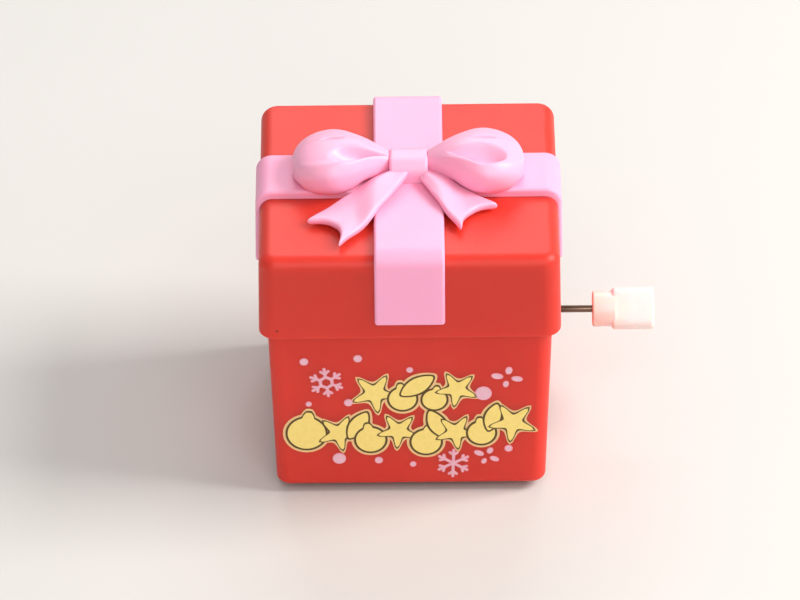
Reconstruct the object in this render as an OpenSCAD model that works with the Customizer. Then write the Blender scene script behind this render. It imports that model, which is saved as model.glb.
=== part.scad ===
// Wind-up gift box: a moulded present with a lid, ribbon and bow, driven on four wheels
// by a plastic clockwork motor. The winding stem leaves the box on the +X side.
// +Z is up, -Y is the printed front, and the origin is on the ground under the box's middle.

/* [Box] */
// Width and depth over the lid's flat top
lid_w = 45; // [44:0.5:47]
// Height of the lid from its rim to its flat top
lid_h = 14; // [12.5:0.5:16]
// Height of the box body that shows under the lid's rim
body_h = 28.2; // [27:0.2:30]
// Gap between the ground and the body's lower edge
ground_gap = 1.3; // [1:0.1:1.6]
// Wall thickness of the box body
wall = 1.4; // [1.2:0.1:1.6]
// Radius of the lid's upright corners
corner_r = 2.6; // [2.2:0.1:3]
// Radius of the lid's top edge
edge_r = 1.95; // [1.4:0.05:2]

/* [Ribbon] */
// Width of the ribbon bands
ribbon_w = 10.4; // [9:0.2:11]
// Thickness of the ribbon bands on the lid's top
ribbon_t = 1.3; // [1:0.1:1.5]
// Thickness of the ribbon bands on the lid's sides
ribbon_side_t = 0.6; // [0.5:0.1:0.9]
// Half of the bow's span
bow_reach = 17.5; // [16:0.5:18]
// Height of the bow above the ribbon
bow_h = 5.4; // [4.5:0.1:6]

/* [Winder] */
// Diameter of the steel winding arbor
arbor_d = 1.1; // [1:0.05:1.2]
// Height of the arbor above the ground
arbor_z = 19.5; // [19.3:0.1:19.7]
// Diameter of the knob's grip
knob_d = 6.5; // [6:0.1:7]
// Thickness of the knob's grip across its two flats
knob_flat = 4.2; // [3.6:0.1:5]
// Distance of the knob's inner face from the box's middle
knob_x = 28; // [27.5:0.1:30]

/* [Motor] */
// Module of all the gears
gear_m = 0.4; // [0.4:0.01:0.4]
// Play between meshing teeth, at the pitch circle
backlash = 0.12; // [0.1:0.01:0.16]
// Turns of the mainspring strip that are drawn
spring_turns = 7; // [5:1:7]
// Thickness of the mainspring strip
spring_t = 0.2; // [0.15:0.05:0.25]

/* [Wheels] */
// Radius of the four road wheels
wheel_r = 4.6; // [4.5:0.05:4.7]
// Width of the road wheels
wheel_w = 3; // [2.6:0.1:3.2]

/* [Hidden] */
$fn = 48;

red = "#d9402f";
pink = "#f5b8d9";
steel = "#9a9590";
nylon = "#f3ece6";
gear_white = "#ece9e2";
rubber = "#2c2b2d";
spring_blue = "#5b6270";

play = 0.05;       // radial clearance of every turning fit
rim_z = ground_gap + body_h;
top_z = rim_z + lid_h;
ribbon_top = top_z + ribbon_t;
lid_wall = 1.1;
lid_roof = 1.4;
lid_draft = 0.2;   // the lid is this much wider at its rim, on each side
body_top_half = lid_w / 2 - 1.1;
body_foot_half = body_top_half - 0.95;
body_r = corner_r - 0.4;
foot_edge_r = 0.9;
spigot_top = rim_z + 5.5;
ribbon_end = rim_z + 3;
end_band = 0.4;    // straight stretch at an end of a drafted box that isn't rounded

// ---- places of the shafts, as [y, z] ----
teeth_drive = 40;
teeth_pinion = 10;
teeth_idler = 28;
teeth_axle = 12;
teeth_second = 30;
rear_y = 9;
front_y = -12;
function centre_gap(a, b) = gear_m * (a + b) / 2;
function along(from, angle, far) = from + far * [cos(angle), sin(angle)];
function heading(from, to) = atan2(to[1] - from[1], to[0] - from[0]);

arbor_at = [0, arbor_z];
rear_at = [rear_y, wheel_r];
front_at = [front_y, wheel_r];
gap_drive_idler = centre_gap(teeth_drive, teeth_pinion);
gap_idler_axle = centre_gap(teeth_idler, teeth_axle);
span = norm(rear_at - arbor_at);
idler_swing = acos((pow(gap_drive_idler, 2) + pow(span, 2) - pow(gap_idler_axle, 2))
    / (2 * gap_drive_idler * span));
idler_at = along(arbor_at, heading(arbor_at, rear_at) + idler_swing, gap_drive_idler);
second_at = along(idler_at, 66, centre_gap(teeth_idler, teeth_pinion));
escape_at = along(second_at, 105, centre_gap(teeth_second, teeth_pinion));
pallet_heading = 150;
pallet_gap = 5.2;
pallet_at = along(escape_at, pallet_heading, pallet_gap);

// ---- planes of the parts along X, as [start, length] ----
frame_in = 7.8;
frame_t = 1.2;
spring_x = [2.9, 4.3];
drive_x = [0.6, 2];
ratchet_x = [-1.2, 1.6];
idler_wheel_x = [-3.2, 1.6];
idler_pinion_x = [0.4, 2.4];
second_wheel_x = [-5.4, 1.4];
second_pinion_x = [-3.4, 2];
escape_x = [-7.2, 1];
escape_pinion_x = [-5.6, 1.8];
lever_x = [-5.8, 0.9];

pin_r = 0.5;
road_axle_r = 0.75;
hub_r = 1.6;
wheel_in = 13;     // inner face of each road wheel
base_t = 1.6;
base_top = ground_gap + base_t;
base_half = body_foot_half - wall - 0.15;
base_screw_at = [[0, 16.6], [0, -16.6], [16.4, -1.5], [-16.4, -1.5]];
pillar_at = [[-8.6, 8], [-8.6, 29.5], [12.6, 29.5], [13, 7.6]];
foot_at = [[-4.5, 11], [3.5, 11]];   // [y, distance from the middle] of the motor's feet screws
spring_post = along(arbor_at, 205, 9.5);

// ---------- helpers ----------

// Draws a flat shape in the YZ plane and gives it a thickness along X.
module slab_x(x0, len) translate([x0, 0, 0]) rotate([90, 0, 90]) linear_extrude(len) children();

// A round bar along X at a [y, z] place.
module bar_x(at, x0, len, r) translate([x0, at[0], at[1]]) rotate([0, 90, 0]) cylinder(r = r, h = len);

module ring_x(at, x0, len, r, bore) {
    difference() {
        bar_x(at, x0, len, r);
        bar_x(at, x0 - 1, len + 2, bore);
    }
}

module rounded_rect(x0, y0, x1, y1, r) {
    translate([x0 + r, y0]) square([x1 - x0 - 2 * r, y1 - y0]);
    translate([x0, y0 + r]) square([x1 - x0, y1 - y0 - 2 * r]);
    for (x = [x0 + r, x1 - r], y = [y0 + r, y1 - r]) translate([x, y]) circle(r);
}

// One corner post of a moulded box: plan radius r, with its end rounded to radius e.
module corner_disc(r, e, up) {
    rotate_extrude($fn = 32) {
        intersection() {
            translate([r - e, 0]) circle(e, $fn = 32);
            translate([0, up ? 0 : -e]) square([r, e]);
        }
        translate([0, up ? 0 : -e]) square([r - e, e]);
    }
}

// A solid box with rounded corners that narrows from one end to the other. Each end edge can be rounded.
module draft_box(half_low, half_high, z_low, z_high, r, e_low, e_high) {
    hull() {
        for (sx = [-1, 1], sy = [-1, 1]) {
            translate([sx * (half_low - r), sy * (half_low - r), z_low + e_low])
                if (e_low > 0) corner_disc(r, e_low, false);
                else cylinder(r = r, h = end_band, $fn = 32);
            translate([sx * (half_high - r), sy * (half_high - r), z_high - e_high])
                if (e_high > 0) corner_disc(r, e_high, true);
                else translate([0, 0, -end_band]) cylinder(r = r, h = end_band, $fn = 32);
        }
    }
}

// Joins rings of points into a closed solid.
module loft(rings) {
    n = len(rings[0]);
    last = len(rings) - 1;
    polyhedron(
        points = [for (ring = rings, p = ring) p],
        faces = concat(
            [[for (i = [0 : n - 1]) i]],
            [for (k = [0 : last - 1], i = [0 : n - 1])
                [k * n + i, (k + 1) * n + i, (k + 1) * n + (i + 1) % n, k * n + (i + 1) % n]],
            [[for (i = [n - 1 : -1 : 0]) last * n + i]]
        ),
        convexity = 6
    );
}

// ---------- gears ----------

pressure = 25;
addendum = 0.85 * gear_m;
dedendum = 1.15 * gear_m;
flank_steps = 5;
function pitch_r(teeth) = gear_m * teeth / 2;
function involute(base, r) = sqrt(max(0, pow(r / base, 2) - 1)) * 180 / PI - acos(min(1, base / r));
// Half of a tooth's angle at radius r.
function half_tooth(teeth, r) =
    let (p = pitch_r(teeth), base = p * cos(pressure))
    90 / teeth - backlash / 4 / p * 180 / PI + involute(base, p) - involute(base, max(r, base));
function flank_radii(teeth) =
    let (p = pitch_r(teeth), low = max(p * cos(pressure), p - dedendum), high = p + addendum)
    concat([p - dedendum], [for (i = [0 : flank_steps]) low + (high - low) * i / flank_steps + 0.001]);
function gear_points(teeth) =
    let (radii = flank_radii(teeth), n = len(radii))
    [for (t = [0 : teeth - 1], side = [-1, 1], i = [0 : n - 1])
        let (r = radii[side < 0 ? i : n - 1 - i], a = t * 360 / teeth + side * half_tooth(teeth, r))
        r * [cos(a), sin(a)]];
// The turn that puts a gear in mesh with its neighbour, which is turned by phase.
function mesh_phase(at, teeth, phase, next_at, next_teeth) =
    let (line = heading(at, next_at), step = (line - phase) * teeth / 360)
    line + 180 + (step + 0.5) * 360 / next_teeth;

drive_phase = 0;
idler_pinion_phase = mesh_phase(arbor_at, teeth_drive, drive_phase, idler_at, teeth_pinion);
idler_phase = idler_pinion_phase;
axle_phase = mesh_phase(idler_at, teeth_idler, idler_phase, rear_at, teeth_axle);
second_phase = mesh_phase(idler_at, teeth_idler, idler_phase, second_at, teeth_pinion);
escape_pinion_phase = mesh_phase(second_at, teeth_second, second_phase, escape_at, teeth_pinion);

module gear_x(at, plane, teeth, phase) {
    slab_x(plane[0], plane[1]) translate(at) rotate(phase) polygon(gear_points(teeth));
}

// ---------- casing ----------

// The shell that the lid covers, open at the top and at the foot.
module box_body() {
    inner_top = body_top_half - wall;
    spigot_half = body_top_half - 0.1;
    color(red) {
        difference() {
            union() {
                draft_box(body_foot_half, body_top_half, ground_gap, rim_z, body_r, foot_edge_r, 0);
                translate([0, 0, rim_z - 0.3]) linear_extrude(spigot_top - rim_z + 0.3)
                    rounded_rect(-spigot_half, -spigot_half, spigot_half, spigot_half, body_r);
            }
            draft_box(body_foot_half - wall, inner_top, ground_gap - 0.5, spigot_top + 1, body_r - 0.8, 0, 0);
            bar_x(arbor_at, 10, 20, arbor_d / 2 + 0.45);
        }
        for (a = [0 : 90 : 270]) rotate(a) snap_bead(body_top_half - 0.2, 0.35);
        for (p = base_screw_at) screw_post(p);
    }
}

// A ridge that clicks into the lid, on the -Y side.
module snap_bead(half, proud) {
    translate([-4, -half - proud, rim_z + 2.6]) cube([8, proud + 0.2, 0.9]);
}

// A post for a self-tapping screw, with a rib that ties it to the nearest wall.
module screw_post(p) {
    out = norm(p);
    away = p / out;
    post_low = base_top + 0.02;
    difference() {
        union() {
            translate([p[0], p[1], post_low]) cylinder(r = 1.9, h = 7);
            translate([p[0], p[1], post_low + 0.4]) rotate(atan2(away[1], away[0]))
                translate([0, -0.8, 0]) cube([body_foot_half - 0.5 - out, 1.6, 5.8]);
        }
        translate([p[0], p[1], post_low - 1]) cylinder(r = 0.75, h = 6.5);
    }
}

// The lid's outer shape, grown outwards at its sides and at its top.
module lid_solid(side, top, edge) {
    half = lid_w / 2 + side;
    draft_box(half + lid_draft, half, rim_z, top_z + top, corner_r + side, 0.5, edge);
}

module lid() {
    inner = lid_w / 2 + lid_draft / 2 - lid_wall;
    seat_z = spigot_top + 0.05;
    color(red) {
        difference() {
            lid_solid(0, 0, edge_r);
            translate([0, 0, rim_z - 1]) linear_extrude(lid_h - lid_roof + 1)
                rounded_rect(-inner, -inner, inner, inner, corner_r - 0.9);
            for (a = [0 : 90 : 270]) rotate(a) snap_bead(body_top_half - 0.05, 0.3);
            peg_holes();
        }
        for (sx = [-1, 1], sy = [-1, 1])
            translate([sx * (inner - 1.7), sy * (inner - 1.7), seat_z]) cylinder(r = 1.4, h = top_z - lid_roof + 0.2 - seat_z);
    }
}

ribbon_pegs = [[0, 13.5], [0, -13.5], [13.5, 0], [-13.5, 0]];
bow_pegs = [[2.6, 0], [-2.6, 0]];

module peg_holes() {
    for (p = ribbon_pegs) translate([p[0], p[1], top_z - 3]) cylinder(r = 0.9, h = 4);
    for (p = bow_pegs) translate([p[0], p[1], top_z - 3]) cylinder(r = 0.8, h = 6);
}

// Two crossed bands that wrap the lid, with pegs that hold them to it.
module ribbon() {
    reach = lid_w;
    color(pink) {
        difference() {
            intersection() {
                lid_solid(ribbon_side_t, ribbon_t, edge_r + 0.45);
                translate([0, 0, ribbon_end]) linear_extrude(lid_h) {
                    translate([-ribbon_w / 2, -reach]) square([ribbon_w, 2 * reach]);
                    translate([-reach, -ribbon_w / 2]) square([2 * reach, ribbon_w]);
                }
            }
            lid_solid(0, 0, edge_r);
            for (p = bow_pegs) translate([p[0], p[1], top_z - 3]) cylinder(r = 0.8, h = 6);
        }
        for (p = ribbon_pegs) translate([p[0], p[1], top_z - 1.9]) cylinder(r = 0.9, h = 1.95);
    }
}

// ---------- bow ----------

loop_rings = 18;
loop_sides = 28;
loop_middle = -0.6;   // the loops lean a little to the front of the knot
bow_low = ribbon_top + 0.02;
// Size of a bow loop at t from the knot (0) to its end (1): it swells, then closes round.
function loop_depth(t) = 2.2 + 4.2 * pow(sin(90 * min(1, t * 1.35)), 1.6);
function loop_round(t) = t < 0.62 ? 1 : sqrt(max(0.002, 1 - pow((t - 0.62) / 0.385, 2)));
function loop_rise(t) = (2.6 + (bow_h - 2.6) * sin(90 * min(1, t * 1.6))) / 2;
function loop_ring(t) = [for (i = [0 : loop_sides - 1])
    let (
        a = i * 360 / loop_sides,
        hollow = 1 - 0.32 * exp(-pow((t - 0.45) / 0.25, 2)) * exp(-pow((a - 80) / 28, 2)),
        rise = loop_rise(t) * (0.45 + 0.55 * loop_round(t))
    )
    [1.6 + (bow_reach - 1.6) * t,
     loop_middle + loop_depth(t) * loop_round(t) * cos(a),
     bow_low + rise + rise * hollow * sin(a)]];

module bow_loop() {
    loft([for (k = [0 : loop_rings]) loop_ring(k / loop_rings)]);
}

// A ribbon tail with a swallow-tail end: a flat strip whose outline is given by its two tips and its notch.
module bow_tail(left, right, notch) {
    translate([0, 0, bow_low]) linear_extrude(1.6)
        polygon([[-1.4, -0.5], left, notch, right, [1.4, -0.5]]);
}

module bow() {
    color(pink) {
        bow_loop();
        mirror([1, 0, 0]) bow_loop();
        translate([0, 0.3, bow_low + 1.9]) resize([6.4, 6.6, 3.8]) sphere(r = 3, $fn = 28);
        bow_tail([-15, -14.5], [-10.3, -19.4], [-10.9, -15.2]);
        bow_tail([8, -15.4], [13.2, -9.2], [9.6, -11.2]);
        for (p = bow_pegs) translate([p[0], p[1], top_z - 1.9]) cylinder(r = 0.8, h = ribbon_t + 3);
    }
}

// ---------- base ----------

module wheel_slot(at) {
    for (side = [-1, 1])
        translate([side * (wheel_in + wheel_w / 2), at[0], 0]) square([wheel_w + 0.7, 2 * wheel_r], center = true);
}

// The floor of the toy. It carries the motor and the front axle's bearings.
module base_plate() {
    color(red) {
        difference() {
            translate([0, 0, ground_gap]) linear_extrude(base_t) difference() {
                rounded_rect(-base_half, -base_half, base_half, base_half, body_r - 0.9);
                wheel_slot(rear_at);
                wheel_slot(front_at);
            }
            for (p = base_screw_at) translate([p[0], p[1], ground_gap - 1]) cylinder(r = 0.95, h = 5);
            for (p = base_screw_at) translate([p[0], p[1], ground_gap - 1]) cylinder(r = 1.7, h = 1.8);
            translate([-4.2, rear_y - 3.1, base_top - 1.2]) cube([3.6, 6.2, 2]);
            for (f = foot_at, side = [-1, 1])
                translate([side * f[1], f[0], ground_gap + 0.3]) cylinder(r = 0.5, h = 5);
        }
        for (side = [-1, 1]) axle_block(side);
    }
}

// A bearing block for the front axle, open at the top so that the axle snaps in.
module axle_block(side) {
    x0 = side > 0 ? 9.6 : -11.6;
    difference() {
        translate([x0, front_y - 2.2, base_top - 0.2]) cube([2, 4.4, wheel_r - base_top + 1.6]);
        bar_x(front_at, x0 - 1, 4, road_axle_r + play);
        translate([x0 - 1, front_y - 0.62, wheel_r]) cube([4, 1.24, 5]);
    }
}

// A pan-head self-tapping screw pointing along +Z, with its head's outer face at z.
module screw_up(x, y, z, head_r, head_h, r, len) {
    translate([x, y, z]) difference() {
        union() {
            cylinder(r = head_r, h = head_h);
            cylinder(r = r, h = len);
        }
        for (a = [0, 90]) rotate(a) translate([-head_r * 0.6, -0.15, -1]) cube([head_r * 1.2, 0.3, 1 + head_h * 0.55]);
    }
}

module base_screws() {
    color(steel) for (p = base_screw_at) screw_up(p[0], p[1], ground_gap, 1.6, 0.75, 0.75, 6);
}

// ---------- motor frame ----------

module frame_outline() {
    rounded_rect(-10.8, base_top + 0.05, 15.2, 32, 1.5);
}

module frame_plate(x0) {
    difference() {
        slab_x(x0, frame_t) frame_outline();
        bar_x(arbor_at, x0 - 1, 4, arbor_d / 2 + play);
        for (at = [idler_at, second_at, escape_at, pallet_at]) bar_x(at, x0 - 1, 4, pin_r);
        bar_x(rear_at, x0 - 1, 4, road_axle_r + play);
        translate([x0 - 1, rear_y - road_axle_r - play, base_top - 1])
            cube([4, 2 * (road_axle_r + play), wheel_r - base_top + 1]);
        slab_x(x0 - 1, 4) frame_windows();
    }
}

// Openings that save plastic between the bearings.
module frame_windows() {
    translate([-6.2, 12.2]) circle(2.6);
    translate([-5.4, 27]) circle(2.4);
    translate([1.2, 10.2]) circle(1.9);
}

module frame_foot(side) {
    x0 = side > 0 ? frame_in + frame_t - 0.1 : -frame_in - frame_t - 3.4;
    for (f = foot_at) difference() {
        translate([x0, f[0] - 1.7, base_top + 0.05]) cube([3.5, 3.4, 1.1]);
        translate([side * f[1], f[0], base_top - 1]) cylinder(r = 0.7, h = 4);
    }
}

// The left plate carries the pillars that set the width of the motor.
module frame_left() {
    color(nylon) {
        frame_plate(-frame_in - frame_t);
        frame_foot(-1);
        for (p = pillar_at) difference() {
            bar_x(p, -frame_in - 0.1, 2 * frame_in + 0.1, 1.5);
            bar_x(p, frame_in - 5, 6, 0.5);
        }
    }
}

// The right plate closes the motor and carries the post that the mainspring hooks on.
module frame_right() {
    color(nylon) {
        difference() {
            frame_plate(frame_in);
            for (p = pillar_at) bar_x(p, frame_in - 1, 4, 0.65);
        }
        frame_foot(1);
        bar_x(spring_post, frame_in + 0.1 - 5.2, 5.2, 0.6);
    }
}

module frame_screws() {
    x0 = frame_in + frame_t;
    color(steel) for (p = pillar_at) difference() {
        union() {
            bar_x(p, x0, 0.6, 1.2);
            bar_x(p, x0 - 5, 5.1, 0.5);
        }
        translate([x0 + 0.3, p[0] - 0.8, p[1] - 0.15]) cube([1, 1.6, 0.3]);
        translate([x0 + 0.3, p[0] - 0.15, p[1] - 0.8]) cube([1, 0.3, 1.6]);
    }
}

module foot_screws() {
    head_z = base_top + 1.15;
    color(steel) for (f = foot_at, side = [-1, 1])
        translate([side * f[1], f[0], 0]) difference() {
            union() {
                translate([0, 0, head_z]) cylinder(r = 1.2, h = 0.7);
                translate([0, 0, ground_gap + 0.4]) cylinder(r = 0.5, h = head_z - ground_gap);
            }
            for (a = [0, 90]) rotate(a) translate([-0.8, -0.15, head_z + 0.35]) cube([1.6, 0.3, 1]);
        }
}

// ---------- mainspring and winding parts ----------

spring_in = hub_r + spring_t / 2 + 0.06;
spring_out = 7.9;
spring_steps = 28;
spring_end = 205;
function spring_r(s) = spring_in + (spring_out - spring_in) * pow(s, 0.85);
function spring_point(k, shift) =
    let (s = k / (spring_turns * spring_steps), a = spring_end - 360 * spring_turns * (1 - s))
    (spring_r(s) + shift) * [cos(a), sin(a)];
spring_count = spring_turns * spring_steps;

// A spiral strip. Its inner end hooks into the hub and its outer end round the frame's post.
module mainspring() {
    post = spring_post - arbor_at;
    color(spring_blue) slab_x(spring_x[0], spring_x[1]) translate(arbor_at) {
        polygon(concat(
            [for (k = [0 : spring_count]) spring_point(k, spring_t / 2)],
            [for (k = [spring_count : -1 : 0]) spring_point(k, -spring_t / 2)]
        ));
        difference() {
            translate(post) circle(0.9);
            translate(post) circle(0.66);
            translate(post) rotate(30) translate([0.1, -0.5]) square([2, 1]);
        }
        strip_link(spring_point(spring_count, 0), post + 0.78 * [cos(105), sin(105)]);
    }
}

// A straight bit of spring strip between two points.
module strip_link(a, b) {
    translate(a) rotate(heading(a, b)) translate([-0.05, -spring_t / 2]) square([norm(b - a) + 0.1, spring_t]);
}

ratchet_teeth = 12;
ratchet_tip = 3.4;
ratchet_root = 2.6;

// The nylon hub pressed on the arbor: saw-toothed ratchet, bearing for the drive gear and core of the spring.
module ratchet_hub() {
    color(gear_white) difference() {
        union() {
            slab_x(ratchet_x[0], ratchet_x[1]) translate(arbor_at) polygon([
                for (i = [0 : ratchet_teeth - 1], edge = [0, 1])
                    let (a = i * 360 / ratchet_teeth + edge, r = edge == 0 ? ratchet_tip : ratchet_root)
                    r * [cos(a), sin(a)]
            ]);
            bar_x(arbor_at, 0, frame_in - 0.3, hub_r);
            bar_x(arbor_at, -frame_in + 0.2, frame_in, 1.1);
        }
        bar_x(arbor_at, -frame_in - 1, 2 * frame_in + 2, arbor_d / 2);
    }
}

click_tip = 3.1 * [cos(6), sin(6)];
click_peg = 6.6 * [cos(55), sin(55)];

// The large gear. It turns freely on the hub and is driven through the click.
module drive_gear() {
    color(gear_white) {
        difference() {
            gear_x(arbor_at, drive_x, teeth_drive, drive_phase);
            bar_x(arbor_at, 0, 4, hub_r + play);
            for (a = [120 : 60 : 360]) bar_x(along(arbor_at, a, 4.9), 0, 4, 1.4);
        }
        bar_x(arbor_at + click_peg, drive_x[0] - 1.5, 1.6, 0.6);
    }
}

// The leaf that rests in the ratchet's teeth. It bends as each tooth passes.
module click_spring() {
    color(steel) slab_x(drive_x[0] - 1.4, 1.2) translate(arbor_at) difference() {
        union() {
            translate(click_peg) circle(1);
            translate(click_tip) rotate(heading(click_tip, click_peg)) translate([0, -0.13])
                square([norm(click_peg - click_tip), 0.26]);
        }
        translate(click_peg) circle(0.63);
    }
}

arbor_end = knob_x + 6;

module winding_arbor() {
    color(steel) bar_x(arbor_at, -frame_in - frame_t - 0.6, arbor_end + frame_in + frame_t + 0.6, arbor_d / 2);
}

collar_d = 5.5;
collar_len = 2.95;
grip_len = 6.5;
knob_turn = 147;   // the flats face up and to the front

// The knob: a round collar and a flat-sided grip.
module winding_knob() {
    color(nylon) difference() {
        union() {
            bar_x(arbor_at, knob_x, collar_len, collar_d / 2);
            slab_x(knob_x + collar_len, grip_len) translate(arbor_at) rotate(knob_turn) intersection() {
                circle(knob_d / 2);
                square([knob_flat, knob_d + 1], center = true);
            }
        }
        bar_x(arbor_at, knob_x - 1, arbor_end - knob_x + 1, arbor_d / 2);
    }
}

// ---------- gear train ----------

module pin_x(at) {
    color(steel) bar_x(at, -frame_in - frame_t, 2 * (frame_in + frame_t), pin_r);
}

module idler_gear() {
    color(gear_white) difference() {
        union() {
            gear_x(idler_at, idler_wheel_x, teeth_idler, idler_phase);
            gear_x(idler_at, idler_pinion_x, teeth_pinion, idler_pinion_phase);
            bar_x(idler_at, idler_wheel_x[0] - 4.2, 12.2, 0.95);
        }
        bar_x(idler_at, -9, 18, pin_r + play);
        for (a = [0 : 72 : 288]) bar_x(along(idler_at, a + idler_phase, 3.3), -4, 3, 0.95);
    }
}

module second_gear() {
    color(gear_white) difference() {
        union() {
            gear_x(second_at, second_wheel_x, teeth_second, second_phase);
            gear_x(second_at, second_pinion_x, teeth_pinion, second_phase);
            bar_x(second_at, second_wheel_x[0] - 2, 14.4, 1.15);
        }
        bar_x(second_at, -9, 18, pin_r + play);
        for (a = [0 : 72 : 288]) bar_x(along(second_at, a + second_phase, 3.7), -6, 3, 1.05);
    }
}

escape_teeth = 10;
escape_tip = 3.4;
pallet_reach = 45;      // each pallet pin stands this far round the wheel from the lever's line
pallet_pin_r = 0.25;
// A quarter of a tooth away from each pin, so that the lever can rock both ways.
escape_phase = pallet_heading + pallet_reach + 9;

// A star wheel with thin teeth, on a pinion driven by the second gear.
module escape_wheel() {
    color(gear_white) difference() {
        union() {
            slab_x(escape_x[0], escape_x[1]) translate(escape_at) rotate(escape_phase) {
                circle(2.3);
                for (i = [0 : escape_teeth - 1]) rotate(i * 360 / escape_teeth)
                    polygon([[2, -0.42], [escape_tip, -0.06], [escape_tip, 0.06], [2, 0.42]]);
            }
            gear_x(escape_at, escape_pinion_x, teeth_pinion, escape_pinion_phase);
            bar_x(escape_at, escape_x[0] - 0.2, 14.4, 1.1);
        }
        bar_x(escape_at, -9, 18, pin_r + play);
    }
}

function pallet_pin(side) = along(escape_at, pallet_heading + side * pallet_reach, escape_tip + pallet_pin_r + 0.06);

// The rocking lever: two pins that the star wheel knocks, and a weight that slows it.
module pallet_lever() {
    weight_at = along(pallet_at, pallet_heading + 20, 2.6);
    color(steel) difference() {
        union() {
            slab_x(lever_x[0], lever_x[1]) {
                translate(pallet_at) circle(1.3);
                translate(weight_at) circle(1.7);
                for (side = [-1, 1]) {
                    translate(pallet_at) rotate(heading(pallet_at, pallet_pin(side)))
                        translate([0, -0.45]) square([norm(pallet_pin(side) - pallet_at), 0.9]);
                    translate(pallet_pin(side)) circle(0.45);
                }
            }
            for (side = [-1, 1]) bar_x(pallet_pin(side), escape_x[0] - 0.1, lever_x[0] - escape_x[0] + 0.3, pallet_pin_r);
            bar_x(pallet_at, -frame_in + 0.2, 3.4, 0.9);
        }
        bar_x(pallet_at, -9, 18, pin_r + play);
    }
}

// ---------- wheels ----------

module road_axle(at) {
    reach = wheel_in + wheel_w + 0.3;
    color(steel) bar_x(at, -reach, 2 * reach, road_axle_r);
}

module axle_pinion() {
    color(gear_white) difference() {
        gear_x(rear_at, [idler_wheel_x[0] - 0.2, idler_wheel_x[1] + 0.4], teeth_axle, axle_phase);
        bar_x(rear_at, -5, 6, road_axle_r);
    }
}

tyre_t = 0.8;

// A driven wheel's hub, with a groove for its tyre.
module rear_wheel(side) {
    x0 = side > 0 ? wheel_in : -wheel_in - wheel_w;
    color(nylon) difference() {
        union() {
            bar_x(rear_at, x0, wheel_w, wheel_r - tyre_t);
            for (x = [x0, x0 + wheel_w - 0.4]) bar_x(rear_at, x, 0.4, wheel_r - 0.3);
        }
        bar_x(rear_at, x0 - 1, wheel_w + 2, road_axle_r);
        ring_x(rear_at, side > 0 ? x0 + wheel_w - 0.7 : x0 - 1, 1.7, wheel_r - 1.6, 1.7);
    }
}

module rear_tyre(side) {
    x0 = side > 0 ? wheel_in : -wheel_in - wheel_w;
    color(rubber) ring_x(rear_at, x0 + 0.4, wheel_w - 0.8, wheel_r, wheel_r - tyre_t);
}

module front_wheel(side) {
    x0 = side > 0 ? wheel_in : -wheel_in - wheel_w;
    color(nylon) difference() {
        bar_x(front_at, x0, wheel_w, wheel_r);
        bar_x(front_at, x0 - 1, wheel_w + 2, road_axle_r);
        ring_x(front_at, side > 0 ? x0 + wheel_w - 0.7 : x0 - 1, 1.7, wheel_r - 0.9, 1.7);
    }
}

box_body();
lid();
ribbon();
bow();
base_plate();
base_screws();
frame_left();
frame_right();
frame_screws();
foot_screws();
mainspring();
drive_gear();
click_spring();
ratchet_hub();
winding_arbor();
winding_knob();
idler_gear();
pin_x(idler_at);  // idler_axle
second_gear();
pin_x(second_at);  // second_axle
escape_wheel();
pin_x(escape_at);  // escape_axle
pallet_lever();
pin_x(pallet_at);  // pallet_axle
road_axle(rear_at);  // rear_axle
axle_pinion();
rear_wheel(-1);  // rear_wheel_left
rear_wheel(1);  // rear_wheel_right
rear_tyre(-1);  // rear_tyre_left
rear_tyre(1);  // rear_tyre_right
road_axle(front_at);  // front_axle
front_wheel(-1);  // front_wheel_left
front_wheel(1);  // front_wheel_right
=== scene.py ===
import math

import bmesh
import bpy
from mathutils import Matrix, Vector


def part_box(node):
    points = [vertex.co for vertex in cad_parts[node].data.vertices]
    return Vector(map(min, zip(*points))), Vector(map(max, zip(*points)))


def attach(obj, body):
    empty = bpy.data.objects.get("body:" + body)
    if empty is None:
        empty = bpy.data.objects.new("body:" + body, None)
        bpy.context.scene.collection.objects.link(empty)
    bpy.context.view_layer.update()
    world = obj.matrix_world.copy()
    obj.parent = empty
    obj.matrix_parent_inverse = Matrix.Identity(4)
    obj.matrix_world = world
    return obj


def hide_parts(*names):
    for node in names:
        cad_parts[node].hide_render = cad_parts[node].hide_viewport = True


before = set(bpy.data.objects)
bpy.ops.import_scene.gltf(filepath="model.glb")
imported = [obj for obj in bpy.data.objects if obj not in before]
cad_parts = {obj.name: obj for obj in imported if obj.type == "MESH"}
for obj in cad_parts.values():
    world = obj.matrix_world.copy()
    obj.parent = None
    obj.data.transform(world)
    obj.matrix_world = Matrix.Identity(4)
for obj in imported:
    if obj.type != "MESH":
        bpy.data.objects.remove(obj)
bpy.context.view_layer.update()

# ---- camera ----
# It stands in front of the toy, a metre away with a long lens, and looks down by about a third of
# a right angle. It is rolled by half a degree, so the box leans a touch.
mm = 0.001
camera_far = 1.08
camera_up = math.radians(33.704)
camera_roll = math.radians(0.578)
camera_target = Vector((-1.45, 0, 21.44)) * mm
looking = Vector((0, math.cos(camera_up), -math.sin(camera_up)))
level_right = Vector((1, 0, 0))
level_up = level_right.cross(looking)
rolled_right = level_right * math.cos(camera_roll) - level_up * math.sin(camera_roll)
rolled_up = level_right * math.sin(camera_roll) + level_up * math.cos(camera_roll)
bpy.ops.object.camera_add()
camera = bpy.context.object
turned = Matrix((rolled_right, rolled_up, -looking)).transposed().to_4x4()
camera.matrix_world = Matrix.Translation(camera_target - looking * camera_far) @ turned
camera.data.sensor_width = 36
camera.data.lens = 317.34
camera.data.clip_start = 0.05
camera.data.clip_end = 20
bpy.context.scene.camera = camera

# ---- table and light ----
# A matt off-white table top that runs back without an edge, under soft studio light.
# The key light is a large panel high on the right, so the shadow falls softly to the left.


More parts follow.
